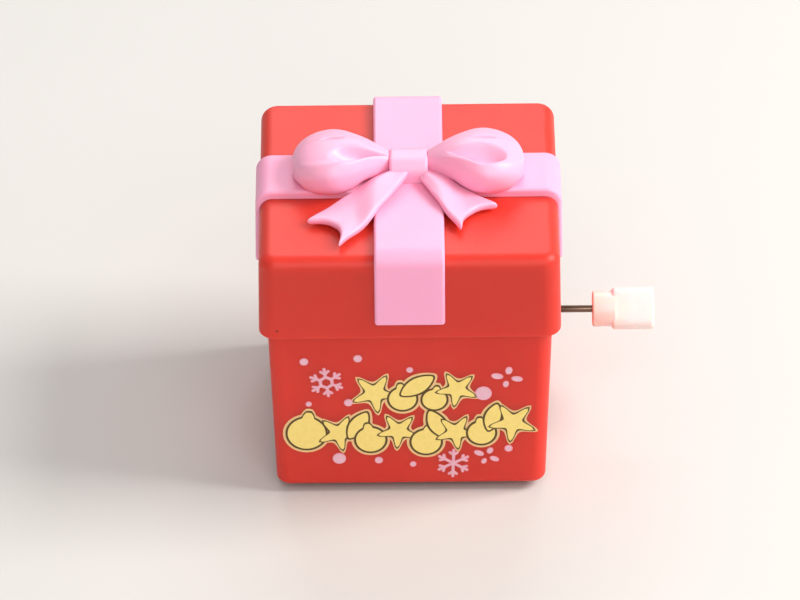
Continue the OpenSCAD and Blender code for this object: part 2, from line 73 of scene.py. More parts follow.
def linear(hex_colour):
    """An sRGB hex colour as linear red, green, blue and alpha."""
    parts = [int(hex_colour[i:i + 2], 16) / 255 for i in (1, 3, 5)]
    return [c / 12.92 if c <= 0.04045 else ((c + 0.055) / 1.055) ** 2.4 for c in parts] + [1.0]


def add_node(material, kind, settings, links=None):
    """Adds a node. A setting is a property or a socket's value, and a link is another node's output."""
    made = material.node_tree.nodes.new(kind)
    for name, value in settings.items():
        if isinstance(name, str) and hasattr(made, name):
            setattr(made, name, value)
        else:
            made.inputs[name].default_value = value
    for name, output in (links or {}).items():
        material.node_tree.links.new(output, made.inputs[name])
    return made


def blank_material(name):
    """A material with only its output node."""
    material = bpy.data.materials.new(name)
    material.use_nodes = True
    material.node_tree.nodes.clear()
    return material


def output_of(material, shader):
    """Sends a shader to the material's output."""
    add_node(material, "ShaderNodeOutputMaterial", {}, {"Surface": shader.outputs[0]})
    return material


def white_laminate():
    """Matt white laminate: flat and without gloss, with a very faint unevenness in its tone."""
    material = blank_material("matt_white_laminate")
    place = add_node(material, "ShaderNodeTexCoord", {})
    cloud = add_node(material, "ShaderNodeTexNoise", {"Scale": 6, "Detail": 2},
                     {"Vector": place.outputs["Object"]})
    tone = add_node(material, "ShaderNodeValToRGB", {}, {"Fac": cloud.outputs["Fac"]})
    tone.color_ramp.elements[0].color = linear("#CECCC9")
    tone.color_ramp.elements[1].color = linear("#D4D2CF")
    shader = add_node(material, "ShaderNodeBsdfPrincipled", {"Roughness": 0.6, "Specular IOR Level": 0.3},
                      {"Base Color": tone.outputs["Color"]})
    return output_of(material, shader)


bpy.ops.object.select_all(action="DESELECT")
bpy.ops.mesh.primitive_plane_add(size=6, location=(0, 1.2, 0))
table = bpy.context.object
table.name = "table_top"
table.data.materials.append(white_laminate())


def panel_light(name, place, towards, size, watts, hex_colour):
    """A soft square lamp panel that faces a point."""
    bpy.ops.object.light_add(type="AREA", location=place)
    lamp = bpy.context.object
    lamp.name = name
    lamp.rotation_euler = (Vector(towards) - Vector(place)).to_track_quat("-Z", "Y").to_euler()
    lamp.data.size = size
    lamp.data.energy = watts
    lamp.data.color = linear(hex_colour)[:3]
    return lamp


box_middle = (0, 0, 0.022)
panel_light("key_panel", (0.66, -0.02, 0.6), box_middle, 0.42, 8.6, "#FFFBF8")
panel_light("front_panel", (0.1, -0.94, 0.75), box_middle, 0.9, 6.0, "#FFFDFB")
panel_light("back_panel", (0.0, 0.9, 0.8), box_middle, 0.7, 4.2, "#FFFFFF")

world = bpy.data.worlds.new("studio")
bpy.context.scene.world = world
world.use_nodes = True
world.node_tree.nodes["Background"].inputs["Color"].default_value = linear("#FAF8F6")
world.node_tree.nodes["Background"].inputs["Strength"].default_value = 0.42
bpy.context.scene.view_settings.view_transform = "Standard"


# ---- clockwork frame, gears and springs ----
# Inside the box sits a plastic clockwork motor: two natural-white frame plates, acetal gears,
# a blued spiral mainspring, steel pins and small zinc-plated screws. It shows only from below.


def moulded_plastic(name, hex_light, hex_dark, rough, grain_mm, grain_depth_mm,
                    glow=0.0, glow_mm=1.0, speck_apart_mm=0.0, shine=0.5):
    """Injection-moulded plastic: a fine even grain from the spark-eroded mould, and a slow drift in the tone.

    glow and glow_mm say how much light enters and how far it goes. speck_apart_mm spaces the burnt specks.
    """
    material = blank_material(name)
    place = add_node(material, "ShaderNodeTexCoord", {})
    drift = add_node(material, "ShaderNodeTexNoise", {"Scale": 70, "Detail": 3, "Roughness": 0.55},
                     {"Vector": place.outputs["Object"]})
    tone = add_node(material, "ShaderNodeValToRGB", {}, {"Fac": drift.outputs["Fac"]})
    tone.color_ramp.elements[0].position = 0.3
    tone.color_ramp.elements[0].color = linear(hex_dark)
    tone.color_ramp.elements[1].position = 0.7
    tone.color_ramp.elements[1].color = linear(hex_light)
    colour = tone.outputs["Color"]
    if speck_apart_mm:
        speck_size = 0.045
        cells_without = 0.82
        speck_darkness = 0.65
        cells = add_node(material, "ShaderNodeTexVoronoi",
                         {"Scale": 1 / (speck_apart_mm * mm), "Randomness": 1},
                         {"Vector": place.outputs["Object"]})
        dot = add_node(material, "ShaderNodeMath", {"operation": "LESS_THAN", 1: speck_size},
                       {0: cells.outputs["Distance"]})
        chance = add_node(material, "ShaderNodeSeparateColor", {}, {"Color": cells.outputs["Color"]})
        rare = add_node(material, "ShaderNodeMath", {"operation": "GREATER_THAN", 1: cells_without},
                        {0: chance.outputs[0]})
        both = add_node(material, "ShaderNodeMath", {"operation": "MULTIPLY"},
                        {0: dot.outputs[0], 1: rare.outputs[0]})
        strength = add_node(material, "ShaderNodeMath", {"operation": "MULTIPLY", 1: speck_darkness},
                            {0: both.outputs[0]})
        mixed = add_node(material, "ShaderNodeMix", {"data_type": "RGBA", 7: linear("#5A1710")},
                         {0: strength.outputs[0], 6: colour})
        colour = mixed.outputs[2]
    grain = add_node(material, "ShaderNodeTexNoise",
                     {"Scale": 1 / (grain_mm * mm), "Detail": 2, "Roughness": 0.6},
                     {"Vector": place.outputs["Object"]})
    sheen = add_node(material, "ShaderNodeMapRange", {"From Min": 0.3, "From Max": 0.7,
                                                      "To Min": rough - 0.04, "To Max": rough + 0.05},
                     {"Value": grain.outputs["Fac"]})
    bump = add_node(material, "ShaderNodeBump", {"Strength": 0.35, "Distance": grain_depth_mm * mm},
                    {"Height": grain.outputs["Fac"]})
    shader = add_node(material, "ShaderNodeBsdfPrincipled",
                      {"IOR": 1.5, "Specular IOR Level": shine, "Subsurface Weight": glow,
                       "Subsurface Scale": glow_mm * mm, "Subsurface Radius": (1.0, 0.5, 0.4)},
                      {"Base Color": colour, "Roughness": sheen.outputs["Result"],
                       "Normal": bump.outputs["Normal"]})
    return output_of(material, shader)


def worked_steel(name, hex_light, hex_dark, rough, line_mm, axis):
    """Drawn, ground or stamped steel: metallic, with fine lines along the way it was worked."""
    material = blank_material(name)
    place = add_node(material, "ShaderNodeTexCoord", {})
    stretch = [1.0, 1.0, 1.0]
    stretch[axis] = 0.04
    lay = add_node(material, "ShaderNodeMapping", {"Scale": stretch}, {"Vector": place.outputs["Object"]})
    lines = add_node(material, "ShaderNodeTexNoise", {"Scale": 1 / (line_mm * mm), "Detail": 3},
                     {"Vector": lay.outputs["Vector"]})
    tone = add_node(material, "ShaderNodeValToRGB", {}, {"Fac": lines.outputs["Fac"]})
    tone.color_ramp.elements[0].position = 0.3
    tone.color_ramp.elements[0].color = linear(hex_dark)
    tone.color_ramp.elements[1].position = 0.7
    tone.color_ramp.elements[1].color = linear(hex_light)
    sheen = add_node(material, "ShaderNodeMapRange", {"To Min": rough - 0.08, "To Max": rough + 0.1},
                     {"Value": lines.outputs["Fac"]})
    bump = add_node(material, "ShaderNodeBump", {"Strength": 0.2, "Distance": 0.01 * mm},
                    {"Height": lines.outputs["Fac"]})
    shader = add_node(material, "ShaderNodeBsdfPrincipled", {"Metallic": 1},
                      {"Base Color": tone.outputs["Color"], "Roughness": sheen.outputs["Result"],
                       "Normal": bump.outputs["Normal"]})
    return output_of(material, shader)


def finish_node(node_name, material):
    """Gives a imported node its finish. Its mesh and place stay as they are."""
    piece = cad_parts[node_name]
    piece.data.materials.clear()
    piece.data.materials.append(material)


# Undyed ABS is a warm, slightly milky white with a satin grain. Acetal is whiter, slippery and glossier.
motor_plastic = moulded_plastic("natural_abs_moulded", "#EFEAE0", "#E4DED2", 0.42, 0.5, 0.02, 0.1, 0.6)
gear_plastic = moulded_plastic("acetal_moulded", "#F4F2EC", "#EAE7DF", 0.28, 0.6, 0.01, 0.15, 0.8)
# Blued strip is dark with lines along its length. Drawn pins and pressed sheet are bare and grey.
# Zinc plating is a paler, slightly blue grey.
blued_strip = worked_steel("blued_spring_strip", "#5C6472", "#3C4150", 0.3, 0.25, 0)
pin_wire = worked_steel("drawn_pin_wire", "#C9C6C1", "#9B9791", 0.24, 0.12, 0)
pressed_sheet = worked_steel("pressed_steel_sheet", "#B9B6B0", "#8D8A85", 0.36, 0.2, 1)
zinc_screw = worked_steel("zinc_plated_screw", "#C4C6C8", "#93969A", 0.3, 0.3, 2)

for name in ("frame_left", "frame_right"):
    finish_node(name, motor_plastic)
for name in ("drive_gear", "ratchet_hub", "idler_gear", "second_gear", "escape_wheel", "axle_pinion"):
    finish_node(name, gear_plastic)
for name in ("mainspring", "click_spring"):
    finish_node(name, blued_strip)
for name in ("idler_axle", "second_axle", "escape_axle", "pallet_axle"):
    finish_node(name, pin_wire)
finish_node("pallet_lever", pressed_sheet)
for name in ("frame_screws", "foot_screws", "base_screws"):
    finish_node(name, zinc_screw)

# ---- winding arbor ----
# A 1.1 mm steel wire, drawn bright and browned where it leaves the box. It is pressed into the
# ratchet hub inside and into the knob outside, so it turns with both.

# Drawn wire, heated until it browned: dark and still shiny, with fine lines along it.
arbor_wire = worked_steel("browned_arbor_wire", "#8F7565", "#3B251C", 0.2, 0.2, 0)
finish_node("winding_arbor", arbor_wire)

# ---- road axles, wheels and tyres ----
# Two 1.5 mm steel axles carry four moulded wheels. The rear pair drives, and each has a soft
# black rubber tyre stretched into its groove. The front pair runs bare.

# Bright drawn wire, white ABS with a satin grain, and matt rubber with a coarser one.
road_axle_steel = worked_steel("drawn_axle_wire", "#CFCCC7", "#A39F99", 0.2, 0.15, 0)
wheel_plastic = moulded_plastic("white_abs_wheel", "#ECE7DF", "#DFD9CF", 0.36, 0.5, 0.015, 0.08, 0.5)
tyre_rubber = moulded_plastic("black_tyre_rubber", "#2E2D2F", "#201F21", 0.72, 0.35, 0.04)
for name in ("rear_axle", "front_axle"):
    finish_node(name, road_axle_steel)
for name in ("rear_wheel_left", "rear_wheel_right", "front_wheel_left", "front_wheel_right"):
    finish_node(name, wheel_plastic)
for name in ("rear_tyre_left", "rear_tyre_right"):
    finish_node(name, tyre_rubber)

# ---- base plate ----
# The red floor of the toy, moulded with slots for the wheels and bearings for the front axle.
# Four screws hold it in the foot of the box.

# The same red ABS as the box. It is thicker, so less light comes through and it looks deeper.
base_red = moulded_plastic("red_abs_base_moulded", "#C5342B", "#B82C24", 0.42, 0.35, 0.03, 0.05, 0.6)
finish_node("base_plate", base_red)

# ---- box body ----
# The lower half of the present, moulded in satin red ABS with a slight draft. Its walls are open
# at the foot, where the base plate sits, and carry a spigot at the top that the lid clicks on to.


def block(name, low, high):
    """Starts a piece as a block between two corners in mm, with its place in its mesh."""
    bpy.ops.object.select_all(action="DESELECT")
    bpy.ops.mesh.primitive_cube_add(size=1)
    piece = bpy.context.object
    piece.name = name
    piece.data.name = name
    piece.location = (Vector(low) + Vector(high)) / 2 * mm
    piece.scale = (Vector(high) - Vector(low)) * mm
    bpy.ops.object.transform_apply(location=True, rotation=True, scale=True)
    return piece


def pick_faces(test):
    """In edit mode, selects just the faces whose middle in mm and normal pass the test."""
    bpy.ops.mesh.select_mode(type="FACE")
    bpy.ops.mesh.select_all(action="DESELECT")
    shape = bmesh.from_edit_mesh(bpy.context.object.data)
    for face in shape.faces:
        face.select_set(bool(test(face.calc_center_median() / mm, face.normal)))
    shape.select_flush_mode()
    bmesh.update_edit_mesh(bpy.context.object.data)


def pick_edges(test):
    """In edit mode, selects just the edges whose two ends in mm pass the test."""
    bpy.ops.mesh.select_mode(type="EDGE")
    bpy.ops.mesh.select_all(action="DESELECT")
    shape = bmesh.from_edit_mesh(bpy.context.object.data)
    for edge in shape.edges:
        edge.select_set(bool(test(edge.verts[0].co / mm, edge.verts[1].co / mm)))
    shape.select_flush_mode()
    bmesh.update_edit_mesh(bpy.context.object.data)


def widen(times, middle):
    """Scales what is selected about a point in mm, in X and Y."""
    bpy.ops.transform.resize(value=(times, times, 1), center_override=[c * mm for c in middle])


def round_edges(radius, segments):
    """Rounds the selected edges to a radius in mm."""
    bpy.ops.mesh.bevel(offset=radius * mm, segments=segments, affect="EDGES",
                       offset_type="OFFSET", profile=0.5)


def lift(distance):
    """Extrudes the selected faces by a distance in mm along Z."""
    bpy.ops.mesh.extrude_region_move(TRANSFORM_OT_translate={"value": (0, 0, distance * mm)})


def finish_surface(piece, angle=35):
    """Smooths a moulded piece: edges up to the angle shade smooth, and flat faces stay flat."""
    bpy.ops.object.select_all(action="DESELECT")
    piece.select_set(True)
    bpy.context.view_layer.objects.active = piece
    bpy.ops.object.shade_smooth_by_angle(angle=math.radians(angle))
    even = piece.modifiers.new("even_normals", "WEIGHTED_NORMAL")
    even.keep_sharp = True
    bpy.ops.object.modifier_apply(modifier=even.name)


def cut(piece, cutter, how="DIFFERENCE"):
    """Cuts one piece with another, which is then removed."""
    bpy.ops.object.select_all(action="DESELECT")
    bpy.context.view_layer.objects.active = piece
    tool = piece.modifiers.new("cut", "BOOLEAN")
    tool.operation = how
    tool.object = cutter
    tool.solver = "EXACT"
    bpy.ops.object.modifier_apply(modifier=tool.name)
    bpy.data.objects.remove(cutter)


def place_piece(piece, body, nodes, material):
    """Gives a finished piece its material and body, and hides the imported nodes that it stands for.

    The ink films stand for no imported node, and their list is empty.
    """
    piece.data.materials.clear()
    piece.data.materials.append(material)
    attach(piece, body)
    if nodes:
        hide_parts(*nodes)


foot_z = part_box("box_body")[0].z / mm
rim_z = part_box("lid")[0].z / mm
body_half = 21.4
body_foot_half = 20.45
body_corner = 2.2
foot_round = 0.9
spigot_step = 0.1
spigot_high = 5.5
body_wall = 1.4
arbor_z = 19.5
arbor_hole = 1.0
hole_x = 21.0

box_body = block("red_box_body", (-body_half, -body_half, foot_z), (body_half, body_half, rim_z))
bpy.ops.object.mode_set(mode="EDIT")
pick_faces(lambda middle, normal: normal.z < -0.9)
widen(body_foot_half / body_half, (0, 0, foot_z))
pick_edges(lambda a, b: abs(a.z - b.z) > 10)
round_edges(body_corner, 8)
pick_edges(lambda a, b: max(a.z, b.z) < foot_z + 0.01)
round_edges(foot_round, 5)
pick_faces(lambda middle, normal: normal.z > 0.99)
bpy.ops.mesh.inset(thickness=spigot_step * mm)
lift(spigot_high)
bpy.ops.mesh.inset(thickness=(body_wall - spigot_step) * mm)
pick_faces(lambda middle, normal: normal.z < -0.99 and middle.z < foot_z + 0.01)
bpy.ops.mesh.inset(thickness=(body_wall - foot_round) * mm)
pick_faces(lambda middle, normal: abs(normal.z) > 0.99 and abs(middle.x) < 0.1 and abs(middle.y) < 0.1)
bpy.ops.mesh.bridge_edge_loops()
bpy.ops.object.mode_set(mode="OBJECT")

bpy.ops.mesh.primitive_cylinder_add(vertices=32, radius=arbor_hole * mm, depth=8 * mm)
hole = bpy.context.object
hole.rotation_euler = (0, math.pi / 2, 0)
hole.location = (hole_x * mm, 0, arbor_z * mm)
bpy.ops.object.transform_apply(location=True, rotation=True, scale=True)
cut(box_body, hole)
finish_surface(box_body)

# Red ABS from a satin mould: a fine dull grain, a few burnt specks, and walls thin enough that light
# enters at the edges and glows there.
satin_red = moulded_plastic("red_abs_satin_moulded", "#E0392B", "#DA3427", 0.42, 0.28, 0.035,
                            0.7, 5.0, 6.5, 0.32)
place_piece(box_body, "casing", ["box_body"], satin_red)

# ---- printed front ----
# A festive pattern pad-printed on the front: two rows of gold stars, baubles and leaves with a dark
# outline and a pale edge, and snow crystals, petals and dots in pale pink.


def front_y(z):
    """The place of the drafted front face at a height in mm."""
    return -(body_foot_half + (body_half - body_foot_half) * (z - foot_z) / (rim_z - foot_z))


def ink_patch(patches, count, outline, x, z, layer):
    """One closed flat patch of ink on the front face, as far above it in mm as its layer says."""
    bpy.ops.mesh.primitive_circle_add(vertices=count, radius=1, fill_type="NGON")
    patch = bpy.context.object
    for number, point in enumerate(patch.data.vertices):
        right, up = outline(number / count)
        point.co = Vector((x + right, front_y(z + up) - layer, z + up)) * mm
    patch.data.update()
    patches.append(patch)


film_deep = 0.15


def film(name, patches, material):
    """Joins the patches of one ink into a film that reaches a little way into the face."""
    bpy.ops.object.select_all(action="DESELECT")
    for patch in patches:
        patch.select_set(True)
    bpy.context.view_layer.objects.active = patches[0]
    bpy.ops.object.join()
    ink = bpy.context.object
    ink.name = name
    ink.data.name = name
    for face in ink.data.polygons:
        if face.normal.y > 0:
            face.flip()
    body = ink.modifiers.new("thickness", "SOLIDIFY")
    body.thickness = film_deep * mm
    body.offset = -1
    bpy.ops.object.modifier_apply(modifier=body.name)
    place_piece(ink, "casing", [], material)


def turned_point(radius, angle):
    """The point at a distance and an angle from the middle."""
    return radius * math.cos(angle), radius * math.sin(angle)


def star_outline(radius, turn, grow):
    """A soft five-pointed star, whose points reach the radius."""
    unscaled_reach = 2.378

    def at(share):
        angle = 2 * math.pi * share
        bend = (abs(math.cos(1.25 * angle)) ** 7 + abs(math.sin(1.25 * angle)) ** 7) ** -0.5 / unscaled_reach
        return turned_point(radius * bend + grow, angle + turn)
    return at


def bauble_outline(radius, turn, grow):
    """A round bauble with a small cap."""
    ball = 0.82
    cap_high = 0.3
    cap_half = 0.24

    def at(share):
        angle = 2 * math.pi * share
        cap = cap_high * math.exp(-((angle - math.pi) / cap_half) ** 4)
        return turned_point(radius * (ball + cap) + grow, angle + turn - math.pi / 2)
    return at


def leaf_outline(radius, turn, grow):
    """A pointed oval leaf."""
    def at(share):
        angle = 2 * math.pi * share
        right = (radius + grow) * math.cos(angle)
        up = (0.46 * radius + grow) * math.sin(angle) * (0.62 + 0.38 * math.sin(angle) ** 2)
        return right * math.cos(turn) - up * math.sin(turn), right * math.sin(turn) + up * math.cos(turn)
    return at


def bar_outline(x0, z0, x1, z1, half):
    """A straight bar with round ends."""
    heading = math.atan2(z1 - z0, x1 - x0)

    def at(share):
        angle = 2 * math.pi * share
        end = (x1, z1) if math.cos(angle) > 0 else (x0, z0)
        right, up = turned_point(half, angle + heading)
        return end[0] + right, end[1] + up
    return at


def printed_ink(name, hex_light, hex_dark, rough):
    """Pad-printing ink: thin, even and slightly glossy, with a faint mottle where the pad let go."""
    material = blank_material(name)
    place = add_node(material, "ShaderNodeTexCoord", {})
    mottle = add_node(material, "ShaderNodeTexNoise", {"Scale": 1400, "Detail": 3},
                      {"Vector": place.outputs["Object"]})
    tone = add_node(material, "ShaderNodeValToRGB", {}, {"Fac": mottle.outputs["Fac"]})
    tone.color_ramp.elements[0].position = 0.35
    tone.color_ramp.elements[0].color = linear(hex_dark)
    tone.color_ramp.elements[1].position = 0.65
    tone.color_ramp.elements[1].color = linear(hex_light)
    bump = add_node(material, "ShaderNodeBump", {"Strength": 0.2, "Distance": 0.01 * mm},
                    {"Height": mottle.outputs["Fac"]})
    shader = add_node(material, "ShaderNodeBsdfPrincipled", {"IOR": 1.48, "Roughness": rough},
                      {"Base Color": tone.outputs["Color"], "Normal": bump.outputs["Normal"]})
    return output_of(material, shader)


gold_patches = []
line_patches = []
edge_patches = []
line_wide = 0.34
edge_wide = 0.72
edge_layer = 0.01
line_layer = 0.022
gold_layer = 0.0235
edge_over_edge = 0.0004
motif_over_motif = 0.003


def gold_motif(outline, radius, x, z, turn):
    """A gold shape with its dark outline and its pale edge. Each lies over the one before it."""
    number = len(gold_patches)
    for patches, grow, layer in ((edge_patches, edge_wide, edge_layer + edge_over_edge * number),
                                 (line_patches, line_wide, line_layer + motif_over_motif * number),
                                 (gold_patches, 0, gold_layer + motif_over_motif * number)):
        ink_patch(patches, 60, outline(radius, math.radians(turn), grow), x, z, layer)


for kind, radius, x, z, turn in (
        (star_outline, 3.5, -5.4, 18.6, 97), (bauble_outline, 2.5, -1.2, 17.5, 8),
        (leaf_outline, 2.9, 1.0, 19.9, 35), (bauble_outline, 2.2, 3.6, 17.3, -10),
        (star_outline, 3.1, 7.0, 19.2, 82),
        (bauble_outline, 3.5, -15.8, 11.2, -6), (star_outline, 3.2, -10.9, 11.2, 100),
        (leaf_outline, 2.7, -8.0, 12.6, 60), (bauble_outline, 2.7, -6.1, 9.9, 10),
        (star_outline, 3.1, -1.9, 11.5, 86), (bauble_outline, 2.7, 2.3, 9.4, -8),
        (leaf_outline, 2.7, 4.0, 12.7, 115), (star_outline, 3.1, 6.8, 11.2, 96),
        (bauble_outline, 2.5, 10.7, 11.0, 6), (leaf_outline, 2.5, 12.4, 13.9, 75),
        (star_outline, 3.5, 15.4, 12.9, 84)):
    gold_motif(kind, radius, x, z, turn)

snow_patches = []
rim_patches = []
snow_rim = 0.13
rim_layer = 0.01
snow_layer = 0.06
snow_over_snow = 0.0005


def snow_shape(outline_of, x, z, *sizes):
    """A pale motif with a slightly pinker rim."""
    number = len(snow_patches)
    for patches, grow, layer in ((rim_patches, snow_rim, rim_layer), (snow_patches, 0, snow_layer)):
        ink_patch(patches, 24, outline_of(grow, *sizes), x, z, layer + snow_over_snow * number)


def dot_outline(grow, radius):
    """A round dot."""
    return lambda share: turned_point(radius + grow, 2 * math.pi * share)


def grown_bar(grow, x0, z0, x1, z1, half):
    """A bar that is wider by the rim."""
    return bar_outline(x0, z0, x1, z1, half + grow)


def petal_outline(grow, start, length, half, turn):
    """A long oval petal that starts away from the burst's middle."""
    def at(share):
        angle = 2 * math.pi * share
        right = start + length / 2 + (length / 2 + grow) * math.cos(angle)
        up = (half + grow) * math.sin(angle)
        return right * math.cos(turn) - up * math.sin(turn), right * math.sin(turn) + up * math.cos(turn)
    return at


def snow_crystal(x, z, radius, tilt, ring):
    """Six forked arms, round a hexagonal ring or straight from the middle."""
    arm_half = 0.13
    fork_half = 0.12
    ring_half = 0.14
    fork_at = 0.62
    fork_long = 0.3
    for arm in range(6):
        turn = math.radians(tilt + 60 * arm)
        snow_shape(grown_bar, x, z, *turned_point(ring, turn), *turned_point(radius, turn), arm_half)
        fork = turned_point(radius * fork_at, turn)
        for lean in (-1, 1):
            tip = turned_point(radius * fork_long, turn + lean * math.radians(48))
            snow_shape(grown_bar, x, z, *fork, fork[0] + tip[0], fork[1] + tip[1], fork_half)
        if ring:
            after = turned_point(ring, turn + math.pi / 3)
            snow_shape(grown_bar, x, z, *turned_point(ring, turn), *after, ring_half)


snow_crystal(-12.7, 20.7, 2.5, 97, 1.0)
snow_crystal(6.4, 5.3, 2.45, 88, 0)
for x, z, across in (
        (-16.0, 24.6, 1.1), (-7.9, 25.1, 1.1), (-0.1, 22.9, 0.8), (-15.4, 16.7, 0.7), (-9.4, 16.9, 1.1),
        (11.0, 18.4, 2.3), (-10.9, 6.4, 1.8), (-4.9, 6.0, 1.0), (0.3, 5.2, 0.75), (14.8, 8.0, 1.0)):
    snow_shape(dot_outline, x, z, across / 2)
petal_sizes = ((1.15, 0.42), (1.6, 0.42), (0.95, 0.34), (1.5, 0.38))
for x, z, size, tilt in ((14.6, 21.3, 1.0, 80), (11.5, 6.6, 0.85, 65)):
    for petal, (long, half) in enumerate(petal_sizes):
        turn = math.radians(tilt + 90 * petal)
        snow_shape(petal_outline, x, z, 0.75 * size, long * size, half * size, turn)

# Pad-printing inks in five colours, all thin and half matt. The gold is a plain yellow without metal.
film("gold_print_film", gold_patches, printed_ink("gold_yellow_ink", "#F9DF82", "#F5DA7A", 0.4))
film("dark_outline_film", line_patches, printed_ink("olive_brown_ink", "#5B4415", "#4E3A10", 0.45))
film("pale_edge_film", edge_patches, printed_ink("pale_cream_ink", "#F0C68C", "#EBBE84", 0.45))
film("snow_print_film", snow_patches, printed_ink("snow_grey_ink", "#EBBBCA", "#E6B2C2", 0.45))
film("snow_rim_film", rim_patches, printed_ink("snow_pink_ink", "#F2A0AD", "#EC97A5", 0.45))

# ---- lid ----
# The upper half, moulded in the same red ABS, hollow below, with a generous radius on its top
# edge and a thin rounded rim that stands proud of the box all round.

ribbon_thick = 1.3
lid_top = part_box("ribbon")[1].z / mm - ribbon_thick
lid_half = 22.5
lid_rim_half = 22.7
lid_corner = 2.6
lid_top_round = 1.95
lid_rim_round = 0.5
lid_wall = 1.1
lid_roof = 1.4

lid = block("red_lid", (-lid_half, -lid_half, rim_z), (lid_half, lid_half, lid_top))
bpy.ops.object.mode_set(mode="EDIT")
pick_faces(lambda middle, normal: normal.z < -0.9)
widen(lid_rim_half / lid_half, (0, 0, rim_z))
pick_edges(lambda a, b: abs(a.z - b.z) > 10)
round_edges(lid_corner, 10)
pick_edges(lambda a, b: min(a.z, b.z) > lid_top - 0.01)
round_edges(lid_top_round, 9)
pick_edges(lambda a, b: max(a.z, b.z) < rim_z + 0.01)
round_edges(lid_rim_round, 4)
bpy.ops.object.mode_set(mode="OBJECT")

# A copy of the lid while it is still solid, which the ribbon's underside is cut to.
lid_shape = lid.copy()
lid_shape.data = lid.data.copy()
bpy.context.collection.objects.link(lid_shape)
bpy.ops.object.select_all(action="DESELECT")
bpy.context.view_layer.objects.active = lid
lid.select_set(True)
bpy.ops.object.mode_set(mode="EDIT")
pick_faces(lambda middle, normal: normal.z < -0.99 and middle.z < rim_z + 0.01)
bpy.ops.mesh.inset(thickness=(lid_wall - lid_rim_round) * mm)
lift(lid_top - lid_roof - rim_z)
bpy.ops.object.mode_set(mode="OBJECT")
finish_surface(lid)
place_piece(lid, "casing", ["lid"], satin_red)

# ---- ribbon ----
# Two crossed pink bands in one moulding, glued over the lid: thick on the top and thinner down
# the sides, where each end stops short of the rim. The edges are lightly rounded.

band_half = 5.28
band_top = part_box("ribbon")[1].z / mm
band_reach = lid_half + 0.6
band_end = 32.2
band_fold = 2.4
band_sink = 2.0
band_edge = 0.5
side_spread = 0.2 * (band_top - band_end) / 14

bpy.ops.object.select_all(action="DESELECT")
bpy.ops.mesh.primitive_grid_add(x_subdivisions=3, y_subdivisions=3, size=2 * band_reach * mm)
ribbon = bpy.context.object
ribbon.name = "pink_ribbon"
ribbon.data.name = "pink_ribbon"
ribbon.location.z = band_top * mm
bpy.ops.object.transform_apply(location=True, rotation=True, scale=True)
grid_step = band_reach / 3
bpy.ops.object.mode_set(mode="EDIT")
pick_edges(lambda a, b: abs(a.x) < grid_step * 1.1 and abs(b.x) < grid_step * 1.1 and abs(a.x - b.x) < 0.01)
bpy.ops.transform.resize(value=(band_half / grid_step, 1, 1), center_override=(0, 0, 0))
pick_edges(lambda a, b: abs(a.y) < grid_step * 1.1 and abs(b.y) < grid_step * 1.1 and abs(a.y - b.y) < 0.01)
bpy.ops.transform.resize(value=(1, band_half / grid_step, 1), center_override=(0, 0, 0))
pick_faces(lambda middle, normal: abs(middle.x) > band_half and abs(middle.y) > band_half)
bpy.ops.mesh.delete(type="FACE")
pick_edges(lambda a, b: max(abs((a + b).x), abs((a + b).y)) / 2 > band_reach - 0.01)
bpy.ops.mesh.extrude_edges_move(TRANSFORM_OT_translate={"value": (0, 0, (band_end - band_top) * mm)})
foot_spread = 1 + side_spread / band_reach
pick_edges(lambda a, b: max(a.z, b.z) < band_end + 0.1 and (a + b).x ** 2 > (a + b).y ** 2)
bpy.ops.transform.resize(value=(foot_spread, 1, 1), center_override=(0, 0, 0))
pick_edges(lambda a, b: max(a.z, b.z) < band_end + 0.1 and (a + b).x ** 2 < (a + b).y ** 2)
bpy.ops.transform.resize(value=(1, foot_spread, 1), center_override=(0, 0, 0))
pick_edges(lambda a, b: min(a.z, b.z) > band_top - 0.01
           and max(abs((a + b).x), abs((a + b).y)) / 2 > band_reach - 0.01)
round_edges(band_fold, 10)
bpy.ops.mesh.select_all(action="SELECT")
bpy.ops.mesh.normals_make_consistent(inside=False)
bpy.ops.object.mode_set(mode="OBJECT")
thicken = ribbon.modifiers.new("thickness", "SOLIDIFY")
thicken.thickness = band_sink * mm
thicken.offset = -1
thicken.use_even_offset = True
bpy.ops.object.modifier_apply(modifier=thicken.name)
soften = ribbon.modifiers.new("soft_edges", "BEVEL")
soften.width = band_edge * mm
soften.segments = 4
soften.limit_method = "ANGLE"
soften.angle_limit = math.radians(50)
bpy.ops.object.modifier_apply(modifier=soften.name)
cut(ribbon, lid_shape)
finish_surface(ribbon)

# Pink ABS: satin, opaque but for a little light at its edges.
soft_pink = moulded_plastic("pink_abs_moulded", "#FFAFCF", "#FDA9CB", 0.46, 0.4, 0.02, 0.3, 1.2, 0, 0.4)
place_piece(ribbon, "casing", ["ribbon"], soft_pink)

# ---- bow ----
# A solid pink moulding sculpted like a tied bow: two plump loops with an almond-shaped hollow,
# a square knot and two swallow-tailed ends. It is pegged and glued to the ribbon's crossing.

bow_floor = band_top + 0.02
loop_start = 2.3
loop_end = 17.5
loop_middle = -0.55
loop_half = 6.9
loop_root_half = 1.4
loop_peak = 50.7
hollow_deep = 2.1
crease_deep = 0.8
lip_high = 0.3
front_sag = 1.3
knot_rise = 3.0


def smooth_step(low, high, value):
    """0 below low, 1 above high, and a smooth rise between them."""
    share = min(1, max(0, (value - low) / (high - low)))
    return share * share * (3 - 2 * share)


def signed_power(value, power):
    """A power that keeps the sign, which turns an oval section plumper or flatter."""
    return math.copysign(abs(value) ** power, value)


